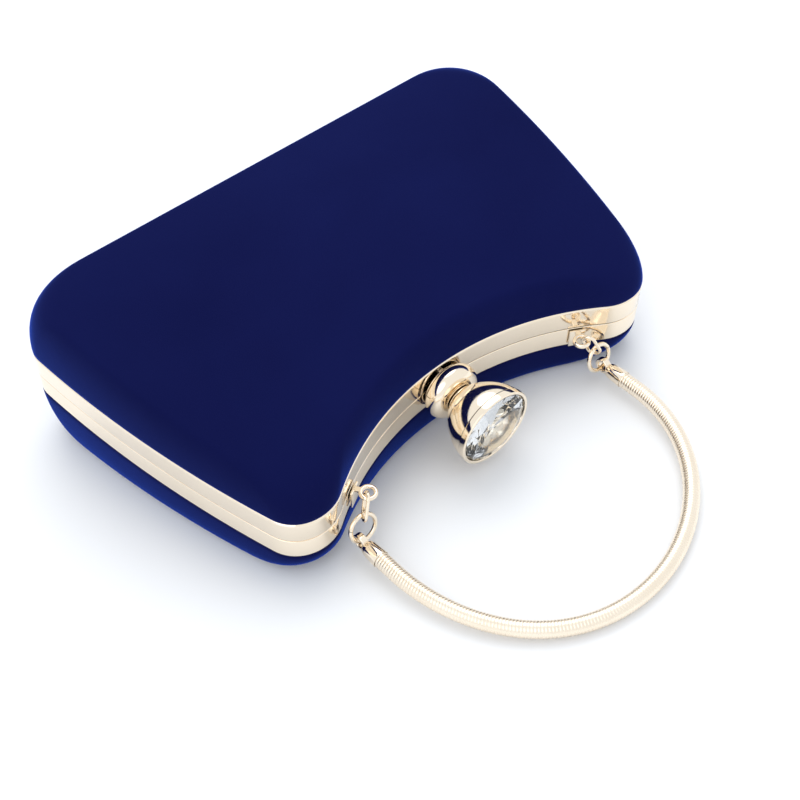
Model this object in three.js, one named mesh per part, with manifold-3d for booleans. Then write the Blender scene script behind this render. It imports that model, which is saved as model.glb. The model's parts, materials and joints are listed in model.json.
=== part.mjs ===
// Hard-case evening clutch: two velvet-covered trays in a gilded frame, hinged along the wide bottom edge,
// with a crystal press clasp in the arched mouth and a curved tube handle hung from the mouth on links and rings.
//
// The case is drawn in its own frame: the seam plane is z = 0, +X runs along the case, -Y is the mouth and
// +Z the front.  The whole bag then lies on its flat back, which is a wedge, so that frame is tilted.
import * as THREE from 'three';
import { mergeVertices } from 'three/addons/utils/BufferGeometryUtils.js';
import Module from 'manifold-3d';

const wasm = await Module();
wasm.setup();

// ---- driving dimensions, in millimetres ----------------------------------------------------------------

const GAP = 0.3; // clearance between pieces that touch on the real bag

// outline of the case in the seam plane
const BOTTOM_WIDTH = 200; // between the bottom corners before rounding
const MOUTH_WIDTH = 150; // between the mouth corners before rounding
const CASE_HEIGHT = 131; // from the mouth corners to the bottom edge
const MOUTH_ARCH = 31.5; // how far the arched mouth rises into the case
const SIDE_BULGE = 5;
const BOTTOM_CUT = 12; // rounding starts this far from a corner
const MOUTH_CUT = 20.5;

// depth of the two trays beyond the frame: at mid height, and gained from the mouth to the bottom
const FRONT = { side: 1, depth: 20.5, taper: 13.5, crown: 2.5, edgeRound: 5.5, cornerRound: 18 };
const BACK = { side: -1, depth: 18, taper: 12, crown: 0, edgeRound: 4, cornerRound: 18 };
const EDGE_LEVELS = [25, 50, 70, 90]; // degrees round the rolled edge of a tray

// frame, and the layers of a tray from outside in
const FRAME_EDGE = 8.4; // outer edge of each frame half above the seam plane
const BAND = 1.2;
const FLANGE_REACH = 4.5;
const FLANGE = 1.2;
const SEAM = 0.15; // half the gap at the seam
const COVER = 1.2;
const SHELL = 1.5;
const LINING = 0.6;

// bottom hinges
const HINGE_X = 55;
const HINGE_WIDTH = 24;
const KNUCKLE_RADIUS = 1.6;
const PIN_RADIUS = 0.8;
const HINGE_STAND_OFF = 2.3; // hinge axis beyond the bottom edge

// clasp: pieces on one axis along -Y
const CLASP_Z = -1.7;
const CRYSTAL_RADIUS = 13.3;
const BEZEL_RADIUS = 14.5;
const BEAD_RADIUS = 10.4;
const BEAD_SKIRT = 0.5; // thickness of the rim that hides the base plate
const BEAD_CUT = 55; // the barrel's section starts at this angle, in degrees, at the rim
const BELL_NECK_RADIUS = 7.2;
const PRESS_TRAVEL = 1;
const STEM_Z = 3.6; // the stem passes through the front half of the frame
const STEM_RADIUS = 1.3;
const SPRING_TURNS = 3.5;
const SPRING_RADIUS = 2.1;
const SPRING_WIRE = 0.25;

// handle and the pieces that hang it, given for the +X side
const LUG_X = 51; // where the lug plate sits on the mouth arch
const EYE_REACH = 5.6; // from the band to the middle of the eye
const EYE_RADIUS = 2.4;
const EYE_WIRE = 0.75;
const LINK_WIRE = 0.6;
const LINK_HALF_WIDTH = 2.1;
const RING_RADIUS = 4.9;
const RING_WIRE = 0.75;
const PIVOT = new THREE.Vector3(56, -57.5, -14.5); // cross hole of the end cap
const HANDLE_TIP = new THREE.Vector3(-5, -130.2, -11.4);
const HANDLE_STRAIGHT = 15.5; // straight part at each end of the handle
const TUBE_RADIUS = 2.8;
const TUBE_BORE = 1.6;
const CORE_RADIUS = 1.1;
const CAP_RADIUS = 3;
const CAP_LENGTH = 12.5;

const MOUTH_Y = -CASE_HEIGHT / 2;
const BOTTOM_Y = CASE_HEIGHT / 2;
const ARCH_RADIUS = (MOUTH_WIDTH ** 2 / 4 + MOUTH_ARCH ** 2) / (2 * MOUTH_ARCH);
const ARCH_CENTRE_Y = MOUTH_Y + MOUTH_ARCH - ARCH_RADIUS;
const ARCH_TOP_Y = MOUTH_Y + MOUTH_ARCH;
const HINGE_Y = BOTTOM_Y + HINGE_STAND_OFF;
const WEDGE = Math.atan(BACK.taper / CASE_HEIGHT);

// ---- materials -----------------------------------------------------------------------------------------

function material(color, roughness, metalness) {
  return new THREE.MeshStandardMaterial({ color, roughness, metalness });
}

const gold = material(0xe6cfa6, 0.12, 1);
const velvet = material(0x171c52, 0.95, 0);
const board = material(0x8b8378, 0.85, 0);
const satin = material(0x23263c, 0.5, 0);
const steel = material(0xb9bcc0, 0.3, 1);
const crystal = material(0xe3edf2, 0.03, 0);

// ---- small helpers -------------------------------------------------------------------------------------

const along = (x, y, z) => new THREE.Vector3(x, y, z);
const radians = THREE.MathUtils.degToRad;

/** A geometry whose faces point out, whichever way it was wound. */
function facingOut(geometry) {
  const bare = new THREE.BufferGeometry();
  bare.setAttribute('position', geometry.getAttribute('position'));
  if (geometry.index) bare.setIndex(geometry.index);
  const welded = mergeVertices(bare, 1e-4);
  const points = welded.getAttribute('position');
  const index = Array.from(welded.index.array);
  const [a, b, c] = [along(), along(), along()];
  const kept = [];
  let volume = 0;
  for (let i = 0; i < index.length; i += 3) {
    const [p, q, r] = index.slice(i, i + 3);
    if (p === q || q === r || r === p) continue;
    a.fromBufferAttribute(points, p);
    b.fromBufferAttribute(points, q);
    c.fromBufferAttribute(points, r);
    volume += a.dot(b.cross(c));
    kept.push([p, q, r]);
  }
  welded.setIndex(kept.flatMap((face) => (volume < 0 ? face.reverse() : face)));
  return welded;
}

function solid(geometry) {
  const ready = facingOut(geometry);
  const vertProperties = Float32Array.from(ready.getAttribute('position').array);
  const triVerts = Uint32Array.from(ready.index.array);
  return new wasm.Manifold(new wasm.Mesh({ numProp: 3, vertProperties, triVerts }));
}

function geometryOf(body) {
  const mesh = body.getMesh();
  const geometry = new THREE.BufferGeometry();
  geometry.setAttribute('position', new THREE.BufferAttribute(Float32Array.from(mesh.vertProperties), 3));
  geometry.setIndex(new THREE.BufferAttribute(Uint32Array.from(mesh.triVerts), 1));
  return geometry;
}

/** One body from several geometries that overlap, with others cut away. */
function joined(parts, cuts = []) {
  let body = parts.map(solid).reduce((sum, part) => sum.add(part));
  for (const cut of cuts) body = body.subtract(solid(cut));
  return geometryOf(body);
}

/** Box between two corners. */
function box(low, high) {
  const size = high.clone().sub(low);
  const middle = low.clone().add(high).multiplyScalar(0.5);
  return new THREE.BoxGeometry(size.x, size.y, size.z).translate(middle.x, middle.y, middle.z);
}

/** Cylinder along X. */
function rodX(radius, from, to, y, z, sides = 16) {
  const rod = new THREE.CylinderGeometry(radius, radius, to - from, sides);
  return rod.rotateZ(Math.PI / 2).translate((from + to) / 2, y, z);
}

/** Body of revolution round the clasp axis; profile holds [radius, y] pairs. */
function turned(profile, sides = 24) {
  const points = profile.map(([radius, y]) => new THREE.Vector2(radius, y));
  return facingOut(new THREE.LatheGeometry(points, sides).translate(0, 0, CLASP_Z));
}

function circle(radius, sides) {
  const shape = new THREE.Shape();
  for (let i = 0; i < sides; i += 1) {
    const angle = (2 * Math.PI * i) / sides;
    const point = [radius * Math.cos(angle), radius * Math.sin(angle)];
    if (i === 0) shape.moveTo(...point);
    else shape.lineTo(...point);
  }
  shape.closePath();
  return shape;
}

/** Surface through rings of equal length, closed round; ends are closed by the two given points. */
function loft(rings, ends = null) {
  const count = rings[0].length;
  const points = rings.flat();
  const faces = [];
  const strips = ends ? rings.length - 1 : rings.length;
  for (let k = 0; k < strips; k += 1) {
    const here = k * count;
    const next = ((k + 1) % rings.length) * count;
    for (let i = 0; i < count; i += 1) {
      const j = (i + 1) % count;
      faces.push(here + i, here + j, next + j, here + i, next + j, next + i);
    }
  }
  if (ends) {
    const [first, last] = [points.length, points.length + 1];
    const lastRing = (rings.length - 1) * count;
    points.push(...ends);
    for (let i = 0; i < count; i += 1) {
      const j = (i + 1) % count;
      faces.push(first, j, i, last, lastRing + i, lastRing + j);
    }
  }
  const geometry = new THREE.BufferGeometry().setFromPoints(points);
  geometry.setIndex(faces);
  return facingOut(geometry);
}

// ---- case outline --------------------------------------------------------------------------------------

/** Arc between two points, bulging to the left of its direction for a positive sagitta. */
function arcEdge(from, to, sagitta) {
  const chord = to.clone().sub(from);
  const span = chord.length();
  const ahead = chord.divideScalar(span);
  if (sagitta === 0) {
    return { length: span, at: (t) => from.clone().addScaledVector(ahead, span * t), heading: () => ahead };
  }
  const left = new THREE.Vector2(-ahead.y, ahead.x).multiplyScalar(Math.sign(sagitta));
  const rise = Math.abs(sagitta);
  const radius = (span ** 2 / 4 + rise ** 2) / (2 * rise);
  const half = Math.asin(span / 2 / radius);
  const middle = from.clone().add(to).multiplyScalar(0.5);
  const turn = (t) => (2 * t - 1) * half;
  return {
    length: 2 * half * radius,
    at: (t) => middle.clone().addScaledVector(ahead, radius * Math.sin(turn(t)))
      .addScaledVector(left, radius * Math.cos(turn(t)) - radius + rise),
    heading: (t) => ahead.clone().multiplyScalar(Math.cos(turn(t))).addScaledVector(left, -Math.sin(turn(t))),
  };
}

/** Points of the round corner between the end of one edge and the start of the next. */
function roundCorner(edge, edgeEnd, next, nextStart, steps) {
  const [a, b] = [edge.at(edgeEnd), next.at(nextStart)];
  const [u, v] = [edge.heading(edgeEnd), next.heading(nextStart)];
  const reach = (b.clone().sub(a).cross(v)) / u.cross(v);
  const corner = a.clone().addScaledVector(u, reach);
  const weight = Math.cos(Math.acos(u.dot(v)) / 2);
  const points = [];
  for (let i = 1; i < steps; i += 1) {
    const t = i / steps;
    const parts = [(1 - t) ** 2, 2 * weight * t * (1 - t), t ** 2];
    const sum = parts[0] + parts[1] + parts[2];
    const point = a.clone().multiplyScalar(parts[0] / sum);
    points.push(point.addScaledVector(corner, parts[1] / sum).addScaledVector(b, parts[2] / sum));
  }
  return points;
}

const sideSpan = Math.hypot((BOTTOM_WIDTH - MOUTH_WIDTH) / 2, CASE_HEIGHT);
const sideRadius = (sideSpan ** 2 / 4 + SIDE_BULGE ** 2) / (2 * SIDE_BULGE);
const sideHalfTurn = Math.asin(sideSpan / 2 / sideRadius);
const sideLean = Math.atan2(CASE_HEIGHT, (BOTTOM_WIDTH - MOUTH_WIDTH) / 2);

/** A corner and how it moves when the outline shrinks: inwards along its bisector. */
function corner(x, y, firstEdge, secondEdge) {
  const middle = (firstEdge + secondEdge) / 2;
  const reach = 1 / Math.sin((secondEdge - firstEdge) / 2);
  const inwards = new THREE.Vector2(Math.cos(middle), Math.sin(middle)).multiplyScalar(reach);
  return (inset) => new THREE.Vector2(x, y).addScaledVector(inwards, inset);
}

const mouthCorner = corner(MOUTH_WIDTH / 2, MOUTH_Y, sideLean - sideHalfTurn,
  Math.PI - Math.asin(MOUTH_WIDTH / 2 / ARCH_RADIUS));
const bottomCorner = corner(BOTTOM_WIDTH / 2, BOTTOM_Y, Math.PI, Math.PI + sideLean + sideHalfTurn);

function sagittaOf(span, radius) {
  return radius - Math.sqrt(radius ** 2 - span ** 2 / 4);
}

/** Outline of the case shrunk by inset, its corners rounded by extra; points run anticlockwise. */
function caseOutline(inset, extra = 0) {
  const mirror = (point) => new THREE.Vector2(-point.x, point.y);
  const [mouth, bottom] = [mouthCorner(inset), bottomCorner(inset)];
  const sideSagitta = sagittaOf(mouth.distanceTo(bottom), sideRadius - inset);
  const edges = [
    { edge: arcEdge(mirror(mouth), mouth, sagittaOf(2 * mouth.x, ARCH_RADIUS + inset)), steps: 10 },
    { edge: arcEdge(mouth, bottom, -sideSagitta), steps: 4 },
    { edge: arcEdge(bottom, mirror(bottom), 0), steps: 3 },
    { edge: arcEdge(mirror(bottom), mirror(mouth), -sideSagitta), steps: 4 },
  ];
  const [mouthCut, bottomCut] = [MOUTH_CUT + extra, BOTTOM_CUT + extra];
  const cuts = [[mouthCut, mouthCut], [mouthCut, bottomCut], [bottomCut, bottomCut], [bottomCut, mouthCut]];
  const points = [];
  edges.forEach(({ edge, steps }, k) => {
    const next = edges[(k + 1) % edges.length].edge;
    const start = cuts[k][0] / edge.length;
    const end = 1 - cuts[k][1] / edge.length;
    for (let i = 0; i <= steps; i += 1) points.push(edge.at(start + ((end - start) * i) / steps));
    points.push(...roundCorner(edge, end, next, cuts[k][1] / next.length, 4));
  });
  return points;
}

/** Outline raised to a height, given as a number or as a function of y. */
function raised(outline, height) {
  return outline.map((p) => along(p.x, p.y, typeof height === 'number' ? height : height(p.y)));
}

// ---- trays: cover, shell and lining ---------------------------------------------------------------------

/** Rings of a tray's surface, from its rim to its middle, at some offset inside the outer surface. */
function trayRings(tray, offset, rim) {
  const height = (y) => tray.depth + (tray.taper * y) / CASE_HEIGHT - tray.crown - offset;
  const rings = [raised(caseOutline(offset), tray.side * rim)];
  for (const degrees of EDGE_LEVELS) {
    const angle = radians(degrees);
    const inwards = 1 - Math.cos(angle) ** 0.75;
    const level = (y) => tray.side * (FRAME_EDGE + height(y) * Math.sin(angle));
    rings.push(raised(caseOutline(offset + tray.edgeRound * inwards, tray.cornerRound * inwards), level));
  }
  const middle = new THREE.Vector2(0, CASE_HEIGHT * 0.19);
  const dome = (point, share) => {
    const y = THREE.MathUtils.lerp(point.y, middle.y, share);
    const x = THREE.MathUtils.lerp(point.x, middle.x, share);
    return along(x, y, tray.side * (FRAME_EDGE + height(y) + tray.crown * (1 - (1 - share) ** 2)));
  };
  const edge = rings.at(-1);
  if (tray.crown > 0) {
    for (const share of [0.35, 0.7]) rings.push(edge.map((point) => dome(point, share)));
  }
  return { rings, middle: dome(edge[0], 1) };
}

/** One layer of a tray: an open box with a rolled edge, between two offsets. */
function trayLayer(tray, offset, thickness, rim) {
  const outside = trayRings(tray, offset, rim);
  const inside = trayRings(tray, offset + thickness, rim);
  return loft([...outside.rings.reverse(), ...inside.rings], [outside.middle, inside.middle]);
}

/** Half of the frame: an outer band and a flange along the seam that the shell's rim stands on. */
function frameHalf(side) {
  const section = [
    [0, SEAM], [0, FRAME_EDGE], [BAND, FRAME_EDGE],
    [BAND, SEAM + FLANGE], [FLANGE_REACH, SEAM + FLANGE], [FLANGE_REACH, SEAM],
  ];
  return loft(section.map(([inset, height]) => raised(caseOutline(inset), side * height)));
}

const SHELL_RIM = SEAM + FLANGE + GAP;

function coverLayer(tray) {
  return trayLayer(tray, 0, COVER, FRAME_EDGE + GAP);
}

function shellLayer(tray) {
  return trayLayer(tray, COVER + GAP, SHELL, SHELL_RIM);
}

function liningLayer(tray) {
  return trayLayer(tray, COVER + SHELL + 2 * GAP, LINING, SHELL_RIM);
}

// ---- bottom hinges ---------------------------------------------------------------------------------------

const KNUCKLE_SPLIT = 4.2; // half width of the middle knuckle

/** Hinge leaf lying outside the band: side +1 carries the middle knuckle, side -1 the two outer ones. */
function hingeLeaf(x, side) {
  const half = HINGE_WIDTH / 2;
  const plateY = [BOTTOM_Y + GAP, BOTTOM_Y + GAP + 0.8];
  const clear = KNUCKLE_RADIUS + 0.7;
  const spans = side > 0 ? [[-KNUCKLE_SPLIT, KNUCKLE_SPLIT]]
    : [[-half, -KNUCKLE_SPLIT - GAP], [KNUCKLE_SPLIT + GAP, half]];
  const heights = [side * clear, side * 7].sort((a, b) => a - b);
  const parts = [box(along(x - half, plateY[0], heights[0]), along(x + half, plateY[1], heights[1]))];
  for (const [from, to] of spans) {
    const tab = [0, side * (clear + 0.5)].sort((a, b) => a - b);
    parts.push(box(along(x + from, plateY[0], tab[0]), along(x + to, plateY[1], tab[1])));
    parts.push(rodX(KNUCKLE_RADIUS, x + from, x + to, HINGE_Y, 0));
  }
  return joined(parts, [rodX(PIN_RADIUS + 0.1, x - half - 1, x + half + 1, HINGE_Y, 0)]);
}

function hingePin(x) {
  const end = HINGE_WIDTH / 2 + GAP;
  const head = (from, to) => rodX(KNUCKLE_RADIUS * 0.8, x + from, x + to, HINGE_Y, 0);
  return joined([
    rodX(PIN_RADIUS, x - end - 0.5, x + end + 0.5, HINGE_Y, 0),
    head(-end - 0.8, -end),
    head(end, end + 0.8),
  ]);
}

// ---- clasp -----------------------------------------------------------------------------------------------

const BASE_Y = ARCH_TOP_Y - 0.9; // inner face of the clasp's base plate
const BASE_THICKNESS = 0.8;
const SKIRT_Y = ARCH_TOP_Y - 1.85; // rim of the bead, clear of the curved mouth by the press travel
const BEAD_Y = BASE_Y - BASE_THICKNESS - PRESS_TRAVEL - GAP; // floor of the hollow behind the bead
const NECK_Y = -43;
const BEZEL_Y = -57.2; // back of the bezel
const TONGUE_Y = ARCH_TOP_Y + 5.9; // nose of the tongue, just inside the keeper
const TONGUE_THICKNESS = 1.4;
const GUIDE_Y = ARCH_TOP_Y + 12.5;

/** Rod along the stem's axis, between two heights of y. */
function stemRod(radius, from, to) {
  return new THREE.CylinderGeometry(radius, radius, to - from, 14).translate(0, (from + to) / 2, STEM_Z);
}

/** Hole for the stem through a wall of the mouth. */
function stemHole() {
  return stemRod(STEM_RADIUS + 0.4, ARCH_TOP_Y - 3, ARCH_TOP_Y + 6);
}

/** Slot for the stem through the rim of the front shell and lining. */
function stemSlot() {
  const half = STEM_RADIUS + 0.4;
  return box(along(-half, ARCH_TOP_Y - 2, 0), along(half, ARCH_TOP_Y + 6, STEM_Z + half));
}

const BEAD_HALF = (SKIRT_Y - NECK_Y) / (1 + Math.cos(radians(BEAD_CUT)));

/** Point of the bead's barrel section: degrees run from the back rim to the neck. */
function barrel(degrees) {
  const angle = radians(degrees);
  return [BEAD_RADIUS * Math.sin(angle) ** 0.5, NECK_Y + BEAD_HALF * (1 + Math.cos(angle))];
}

const HOLLOW_RADIUS = barrel(BEAD_CUT)[0] - BEAD_SKIRT;

/** Base plate fixed to the front half of the frame, with a hole for the stem. */
function claspBase() {
  const radius = HOLLOW_RADIUS - GAP;
  const front = BASE_Y - BASE_THICKNESS;
  const bevel = 0.3;
  return joined([turned([
    [0, BASE_Y], [radius, BASE_Y], [radius, front + bevel], [radius - bevel, front], [0, front],
  ])], [stemHole()]);
}

/** Barrel bead: widest near its back rim, round towards the neck, and hollow behind for the base plate. */
function claspBead() {
  const outside = [BEAD_CUT, 75, 95, 115, 135, 150, 163].map(barrel);
  return turned([[0, BEAD_Y], [HOLLOW_RADIUS, BEAD_Y], [HOLLOW_RADIUS, SKIRT_Y], ...outside, [0, NECK_Y]]);
}

function claspNeck() {
  const [inner, outer] = [NECK_Y - GAP, NECK_Y - 1.1];
  return turned([[0, inner], [5.4, inner], [5.8, inner - 0.4], [5.4, outer], [0, outer]], 20);
}

/** Bell that swells from the neck to the bezel; open towards the crystal. */
function claspBell() {
  const start = NECK_Y - 1.4;
  const length = start - BEZEL_Y - GAP;
  const gain = BEZEL_RADIUS - 0.4 - BELL_NECK_RADIUS;
  const swell = (t) => BELL_NECK_RADIUS + gain * Math.sin((Math.PI / 2) * t) ** 0.9;
  const steps = 7;
  const outside = [];
  const inside = [];
  for (let i = 0; i <= steps; i += 1) {
    const t = i / steps;
    outside.push([swell(t), start - length * t]);
    if (i > 0) inside.unshift([swell(t) - 1.1, start - length * t]);
  }
  return turned([[0, start], ...outside, ...inside, [0, start - length * 0.14]]);
}

function claspBezel() {
  const front = BEZEL_Y - 2.6;
  return turned([
    [BEZEL_RADIUS - 2.4, BEZEL_Y], [BEZEL_RADIUS - 0.3, BEZEL_Y], [BEZEL_RADIUS, BEZEL_Y - 0.5],
    [BEZEL_RADIUS, front + 0.5], [BEZEL_RADIUS - 0.5, front], [CRYSTAL_RADIUS + 0.2, front],
    [CRYSTAL_RADIUS + 0.2, BEZEL_Y - 0.9], [BEZEL_RADIUS - 2.4, BEZEL_Y - 0.9],
    [BEZEL_RADIUS - 2.4, BEZEL_Y],
  ]);
}

/** Round faceted stone: pointed pavilion behind the girdle, bevelled crown and a flat table in front. */
function claspCrystal() {
  const girdle = BEZEL_Y - 1.2;
  return turned([
    [0, girdle + 5.5], [10, girdle], [CRYSTAL_RADIUS - 0.2, girdle], [CRYSTAL_RADIUS - 0.2, girdle - 0.8],
    [CRYSTAL_RADIUS * 0.62, girdle - 3.2], [0, girdle - 3.2],
  ], 16);
}

/** Plunger: a stem from the bead through the band, and a tongue that crosses the seam to the keeper. */
function claspPlunger() {
  const half = 1.5;
  const [tip, noseHeight, armThickness] = [-4.6, 1.2, 1];
  const inner = TONGUE_Y + TONGUE_THICKNESS;
  return joined([
    stemRod(STEM_RADIUS, BEAD_Y + GAP, GUIDE_Y + 2),
    box(along(-half, inner - armThickness, tip), along(half, inner, STEM_Z + half)),
    box(along(-half, TONGUE_Y, tip), along(half, inner, tip + noseHeight)),
  ]);
}

/** Guide inside the front tray: a cross plate with a bore for the stem, on two ears. */
function claspGuide() {
  const [near, far] = [ARCH_TOP_Y + FLANGE_REACH + GAP, GUIDE_Y + 1.2];
  const [low, high] = [SEAM + FLANGE + GAP, STEM_Z + 3.6];
  const [half, earThickness] = [4.4, 1.2];
  const ear = (from, to) => box(along(from, near, low), along(to, far, high));
  return joined([
    ear(-half, earThickness - half),
    ear(half - earThickness, half),
    box(along(-half, GUIDE_Y, low), along(half, far, high)),
  ], [stemRod(STEM_RADIUS + GAP, GUIDE_Y - 1, far + 1)]);
}

/** Middle line of the return spring, round the stem. */
class SpringCurve extends THREE.Curve {
  getPoint(t, target = new THREE.Vector3()) {
    const start = TONGUE_Y + TONGUE_THICKNESS + PRESS_TRAVEL + 0.7;
    const end = GUIDE_Y - 0.6;
    const angle = 2 * Math.PI * SPRING_TURNS * t;
    const x = SPRING_RADIUS * Math.cos(angle);
    return target.set(x, start + (end - start) * t, STEM_Z + SPRING_RADIUS * Math.sin(angle));
  }
}

/** Coil spring between the tongue and the guide, which holds the knob out. */
function claspSpring() {
  const steps = Math.round(SPRING_TURNS * 12);
  return new THREE.ExtrudeGeometry(circle(SPRING_WIRE, 6), { steps, extrudePath: new SpringCurve() });
}

/** Keeper on the back frame: a plate with a window for the tongue's nose. */
function catchKeeper() {
  const y = ARCH_TOP_Y + FLANGE_REACH + GAP;
  const [half, height, thickness] = [5, 7, 0.8];
  const window = { half: 2.2, low: -5.2, high: -3 };
  const plate = box(along(-half, y, -height), along(half, y + thickness, -GAP));
  const opening = box(along(-window.half, y - 1, window.low), along(window.half, y + 2, window.high));
  return joined([plate], [opening]);
}

// ---- handle and its hangers --------------------------------------------------------------------------------

const mouthOutwards = along(-LUG_X, -(Math.sqrt(ARCH_RADIUS ** 2 - LUG_X ** 2)), 0).divideScalar(ARCH_RADIUS);
const lugRoot = along(LUG_X, ARCH_CENTRE_Y, 0).addScaledVector(along(0, 1, 0), -mouthOutwards.y * ARCH_RADIUS);
const eyeCentre = lugRoot.clone().addScaledVector(mouthOutwards, EYE_REACH).setZ(-1);
const hang = along(PIVOT.x - eyeCentre.x, PIVOT.y - eyeCentre.y, 0).normalize();
const linkTop = eyeCentre.clone().addScaledVector(hang, EYE_RADIUS);
const hangDown = PIVOT.clone().sub(linkTop);
const linkSpan = hangDown.length() - 2 * RING_RADIUS;
hangDown.normalize();
const linkBottom = linkTop.clone().addScaledVector(hangDown, linkSpan);
const ringAcross = along(1, 0, 0).addScaledVector(hangDown, -hangDown.x).normalize();
// the link's plane splits the angle between the eye's wire and the ring's wire
const linkNormal = along(-hang.y, hang.x, 0).add(ringAcross).normalize();
const linkAcross = hangDown.clone().cross(linkNormal).normalize();

/** Turns a geometry drawn in x, y (z is its axis) into the plane of two unit vectors, about a centre. */
function placed(geometry, across, up, centre) {
  const matrix = new THREE.Matrix4().makeBasis(across, up, across.clone().cross(up));
  return geometry.applyMatrix4(matrix).translate(centre.x, centre.y, centre.z);
}

/** Mirrors a +X piece to the other side. */
function mirrored(geometry) {
  return facingOut(geometry.clone().applyMatrix4(new THREE.Matrix4().makeScale(-1, 1, 1)));
}

/** Plate on the back half's band, and the eye on its neck. */
function lug() {
  const turn = Math.atan2(mouthOutwards.y, mouthOutwards.x);
  const piece = (geometry, reach, z) => geometry.rotateZ(turn)
    .translate(lugRoot.x + mouthOutwards.x * reach, lugRoot.y + mouthOutwards.y * reach, z);
  const standOff = 0.4;
  const thickness = 0.9;
  const [width, height, neckWidth] = [5.6, 7.2, 1.8];
  const plate = piece(new THREE.BoxGeometry(thickness, width, height), standOff + thickness / 2, -height / 2 - 0.5);
  const neckStart = standOff + thickness / 2;
  const neckLength = EYE_REACH - EYE_RADIUS - neckStart;
  const neck = piece(new THREE.BoxGeometry(neckLength, neckWidth, 1.3), neckStart + neckLength / 2, eyeCentre.z);
  const eye = new THREE.TorusGeometry(EYE_RADIUS, EYE_WIRE, 8, 20);
  eye.translate(eyeCentre.x, eyeCentre.y, eyeCentre.z);
  return joined([plate, neck, eye]);
}

/** Closed loop of wire in the x, y plane: an oval with straight sides, or a ring where they are zero. */
function wireLoop(halfWidth, straight, wire, steps, sides = 8) {
  const rings = [];
  for (const end of [1, -1]) {
    for (let i = 0; i <= steps; i += 1) {
      if (straight === 0 && i === steps) continue;
      const angle = Math.PI * (i / steps) + (end > 0 ? 0 : Math.PI);
      const ring = [];
      for (let j = 0; j < sides; j += 1) {
        const turn = (2 * Math.PI * j) / sides;
        const reach = halfWidth + wire * Math.cos(turn);
        const x = reach * Math.cos(angle);
        const y = reach * Math.sin(angle) + (end * straight) / 2;
        ring.push(along(x, y, wire * Math.sin(turn)));
      }
      rings.push(ring);
    }
  }
  return loft(rings);
}

function link() {
  const middle = linkTop.clone().add(linkBottom).multiplyScalar(0.5);
  const loop = wireLoop(LINK_HALF_WIDTH, linkSpan, LINK_WIRE, 7);
  return placed(loop, linkAcross, hangDown.clone().negate(), middle);
}

function ring() {
  const middle = linkBottom.clone().addScaledVector(hangDown, RING_RADIUS);
  return placed(wireLoop(RING_RADIUS, 0, RING_WIRE, 12), ringAcross, hangDown.clone().negate(), middle);
}

const CAP_END = CAP_LENGTH - CAP_RADIUS; // end of the cap's sleeve, measured from the pivot
const HANDLE_SLOPE = (HANDLE_TIP.z - PIVOT.z) / (PIVOT.y - HANDLE_TIP.y);
const handleStart = along(0, -1, HANDLE_SLOPE).normalize();

/** Middle line of the handle: straight ends, and between them half an ellipse leaning a little to one side. */
class HandleCurve extends THREE.Curve {
  constructor(trim) {
    super();
    this.trim = trim;
  }

  getPoint(t, target = new THREE.Vector3()) {
    const straightShare = 0.08;
    const bendY = PIVOT.y - HANDLE_STRAIGHT;
    let x = PIVOT.x;
    let y = bendY;
    const fromEnd = Math.min(t, 1 - t) / straightShare;
    if (fromEnd < 1) {
      y = THREE.MathUtils.lerp(PIVOT.y - this.trim, bendY, fromEnd);
      x *= t < 0.5 ? 1 : -1;
    } else {
      const angle = (Math.PI * (t - straightShare)) / (1 - 2 * straightShare);
      const share = Math.sin(angle);
      y += (HANDLE_TIP.y - bendY) * share;
      x = x * Math.cos(angle) + HANDLE_TIP.x * share ** 2;
    }
    return target.set(x, y, PIVOT.z + HANDLE_SLOPE * (PIVOT.y - y));
  }
}

/** Coil-wound tube of the handle, drawn smooth. */
function handleTube() {
  const section = circle(TUBE_RADIUS, 10);
  section.holes.push(circle(TUBE_BORE, 6));
  return new THREE.ExtrudeGeometry(section, { steps: 40, extrudePath: new HandleCurve(CAP_END + GAP) });
}

/** Stiff core that keeps the handle's shape; its ends stand in the end caps. */
function handleCore() {
  const extrudePath = new HandleCurve(CAP_END - 3.5);
  return new THREE.ExtrudeGeometry(circle(CORE_RADIUS, 6), { steps: 40, extrudePath });
}

/** End cap: a round-nosed sleeve, and an eye with a cross hole for the ring. */
function endCap() {
  const eyeRadius = 2.9;
  const eyeHalf = 1.2;
  const holeRadius = 1.8;
  const profile = [
    [0, 2.1], [1.7, 2.1], [2.4, 2.9], [2.75, 4.2], [CAP_RADIUS, CAP_END], [0, CAP_END],
  ];
  const sleeve = new THREE.LatheGeometry(profile.map(([r, s]) => new THREE.Vector2(r, s)), 16);
  const bore = new THREE.CylinderGeometry(CORE_RADIUS + GAP, CORE_RADIUS + GAP, 8, 10);
  bore.translate(0, CAP_END, 0);
  const body = joined(
    [sleeve, rodX(eyeRadius, -eyeHalf, eyeHalf, 0, 0, 18)],
    [rodX(holeRadius, -eyeHalf - 1, eyeHalf + 1, 0, 0, 14), bore],
  );
  return placed(body, along(1, 0, 0), handleStart, PIVOT);
}

// ---- assembly ----------------------------------------------------------------------------------------------

const bag = new THREE.Group();

function add(name, geometry, finish) {
  const mesh = new THREE.Mesh(geometry, finish);
  mesh.name = name;
  bag.add(mesh);
}

/** Adds a piece drawn on the +X side, and its mirror image. */
function addPair(name, geometry, finish) {
  add(`${name}_right`, geometry, finish);
  add(`${name}_left`, mirrored(geometry), finish);
}

add('back_frame', frameHalf(BACK.side), gold);
add('front_frame', joined([frameHalf(FRONT.side)], [stemHole()]), gold);
add('back_cover', coverLayer(BACK), velvet);
add('front_cover', coverLayer(FRONT), velvet);
add('back_shell', shellLayer(BACK), board);
add('front_shell', joined([shellLayer(FRONT)], [stemSlot()]), board);
add('back_lining', liningLayer(BACK), satin);
add('front_lining', joined([liningLayer(FRONT)], [stemSlot()]), satin);

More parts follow.
